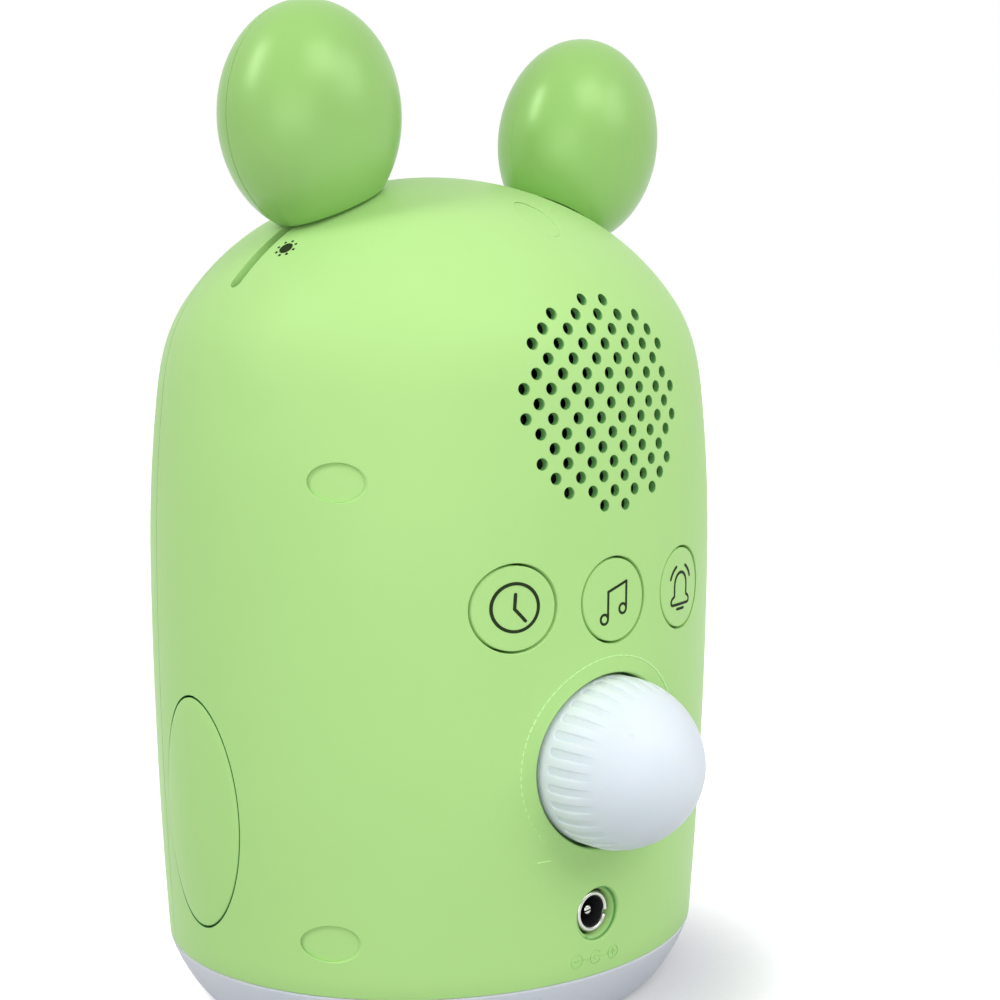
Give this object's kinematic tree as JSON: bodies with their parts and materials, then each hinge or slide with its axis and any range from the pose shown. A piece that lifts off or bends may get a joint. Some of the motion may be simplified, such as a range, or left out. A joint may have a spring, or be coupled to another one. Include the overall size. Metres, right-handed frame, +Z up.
{
  "type": "kids alarm clock with night light",
  "caption": "Domed bedside alarm clock with round ears, rear speaker grille, push buttons, volume knob, power inlet and a glowing base ring.",
  "frame": {"origin": "on the table under the middle of the domed body, between the four rubber feet", "axes": "+Z up, the display faces -Y, the controls face +Y, the sliding ear is on +X"},
  "size_m": [0.1208, 0.1246, 0.1946],
  "materials": {
    "green_plastic": "satin moulded",
    "white_plastic": "satin moulded",
    "translucent_white": "frosted",
    "black_plastic": "moulded",
    "ink": "pad printed",
    "lit_digits": "lit",
    "steel": "zinc plated",
    "nickel": "nickel plated",
    "magnet": "ferrite",
    "circuit_board": "solder mask",
    "speaker_paper": "pressed paper",
    "foam": "foam",
    "foot_rubber": "matte",
    "wire_insulation": "vinyl",
    "ribbon": "vinyl"
  },
  "bodies": {
    "root": {"rear_shell": "green_plastic", "front_shell": "green_plastic", "side_pads": "green_plastic", "screw_plugs": "green_plastic", "shell_screws": "steel", "tact_switches": "black_plastic", "volume_pot": "steel", "volume_nut": "steel", "jack_housing": "black_plastic", "jack_barrel": "nickel", "jack_pin": "nickel", "main_board": "circuit_board", "board_screws": "steel", "connectors": "white_plastic", "speaker_frame": "black_plastic", "speaker_gasket": "foam", "speaker_cone": "speaker_paper", "speaker_magnet": "magnet", "speaker_screws": "steel", "speaker_wires": "wire_insulation", "dimmer_pot": "steel", "dimmer_wires": "wire_insulation", "sun_icon": "ink", "fixed_ear_rear": "green_plastic", "fixed_ear_front": "green_plastic", "fixed_ear_anchor": "green_plastic", "anchor_clip": "steel", "mid_frame": "white_plastic", "frame_screws": "steel", "front_panel": "translucent_white", "display_digits": "lit_digits", "panel_icons": "ink", "light_box": "white_plastic", "display_board": "circuit_board", "display_screws": "steel", "ribbon_cable": "ribbon", "base_ring": "translucent_white", "bottom_plate": "white_plastic", "base_screws": "steel", "rubber_feet": "foot_rubber", "battery_door": "white_plastic", "coin_cell": "nickel", "led_board": "circuit_board", "ballast_plate": "steel"},
    "clock_key": {"clock_button": "green_plastic", "clock_icon": "ink", "clock_plunger": "white_plastic"},
    "music_key": {"music_button": "green_plastic", "music_icon": "ink", "music_plunger": "white_plastic"},
    "alarm_key": {"alarm_button": "green_plastic", "alarm_icon": "ink", "alarm_plunger": "white_plastic"},
    "volume_dial": {"volume_knob": "translucent_white", "volume_shaft": "steel"},
    "dimmer_ear": {"dimmer_ear_rear": "green_plastic", "dimmer_ear_front": "green_plastic", "dimmer_arm": "green_plastic", "dimmer_shutter": "green_plastic", "dimmer_shaft": "steel"}
  },
  "joints": [
    {"name": "clock_press", "type": "slide", "parent": "root", "child": "clock_key", "axis": [0, -1, 0], "range_m": [0, 0.0007], "stiffness_N_per_m": 600, "springref_m": -0.0005},
    {"name": "music_press", "type": "slide", "parent": "root", "child": "music_key", "axis": [0, -1, 0], "range_m": [0, 0.0007], "stiffness_N_per_m": 600, "springref_m": -0.0005},
    {"name": "alarm_press", "type": "slide", "parent": "root", "child": "alarm_key", "axis": [0, -1, 0], "range_m": [0, 0.0007], "stiffness_N_per_m": 600, "springref_m": -0.0005},
    {"name": "volume_turn", "type": "hinge", "parent": "root", "child": "volume_dial", "pos_m": [0, 0.06, 0.0532], "axis": [0, 1, 0], "range_deg": [-135, 135]},
    {"name": "dimmer_swing", "type": "hinge", "parent": "root", "child": "dimmer_ear", "pos_m": [0.007, 0.0009, 0.1082], "axis": [0, 0.9971, -0.0767], "range_deg": [0, 22]}
  ]
}
